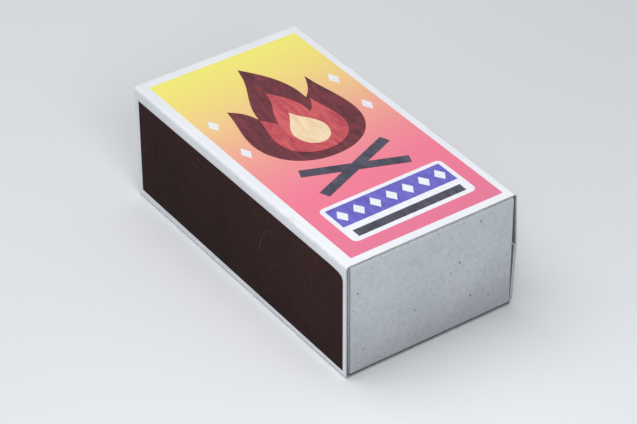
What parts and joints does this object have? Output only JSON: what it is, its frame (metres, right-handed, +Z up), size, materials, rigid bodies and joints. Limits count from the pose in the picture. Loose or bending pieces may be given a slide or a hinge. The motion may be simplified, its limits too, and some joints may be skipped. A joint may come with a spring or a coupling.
{
  "type": "box of matches",
  "caption": "Household matchbox: a coated sleeve with a striking surface on both long sides and a grey board tray of wooden matches that slides out at either end.",
  "frame": {"origin": "middle of the underside of the sleeve", "axes": "+X along the length of the box, the way the tray slides out at the end that the picture shows; +Y across the width; +Z up out of the printed top"},
  "size_m": [0.0903, 0.05, 0.0329],
  "materials": {
    "coated_board": "smooth white coating, half gloss",
    "striker": "dark brown friction coat, matte",
    "print_orange": "printed ink, half gloss",
    "print_maroon": "printed ink, half gloss",
    "print_rose": "printed ink, half gloss",
    "print_cream": "printed ink, half gloss",
    "print_slate": "printed ink, half gloss",
    "print_white": "printed ink, half gloss",
    "print_violet": "printed ink, half gloss",
    "grey_board": "uncoated recycled board, matte",
    "match_wood": "sawn aspen, matte",
    "match_heads": "sawn aspen with dipped brown heads, matte"
  },
  "bodies": {
    "sleeve": {"sleeve": "coated_board", "striker_left": "striker", "striker_right": "striker", "print_field": "print_orange", "print_flame": "print_maroon", "print_ember": "print_rose", "print_core": "print_cream", "print_logs": "print_slate", "print_spark_1": "print_cream", "print_spark_2": "print_cream", "print_spark_3": "print_cream", "print_spark_4": "print_cream", "print_plaque": "print_white", "print_ribbon": "print_violet", "print_bar": "print_slate"},
    "tray": {"tray": "grey_board", "match_layer_1": "match_heads", "match_layer_2": "match_heads", "match_layer_3": "match_heads", "match_layer_4": "match_heads", "match_layer_5": "match_heads", "match_layer_6": "match_heads", "match_layer_7": "match_heads", "match_01": "match_wood", "match_02": "match_wood", "match_03": "match_wood", "match_04": "match_wood", "match_05": "match_wood", "match_06": "match_wood", "match_07": "match_wood", "match_08": "match_wood", "match_09": "match_wood", "match_10": "match_wood", "match_11": "match_wood", "match_12": "match_wood", "match_13": "match_wood", "match_14": "match_wood", "match_15": "match_wood", "match_16": "match_wood", "match_17": "match_wood", "match_18": "match_wood", "match_19": "match_wood", "match_20": "match_wood", "match_21": "match_wood", "match_22": "match_wood", "match_23": "match_wood", "match_24": "match_wood", "match_25": "match_wood", "match_26": "match_wood", "match_27": "match_wood"}
  },
  "joints": [
    {"name": "tray_slide", "type": "slide", "parent": "sleeve", "child": "tray", "axis": [1, 0, 0], "range_m": [-0.075, 0.075]}
  ]
}
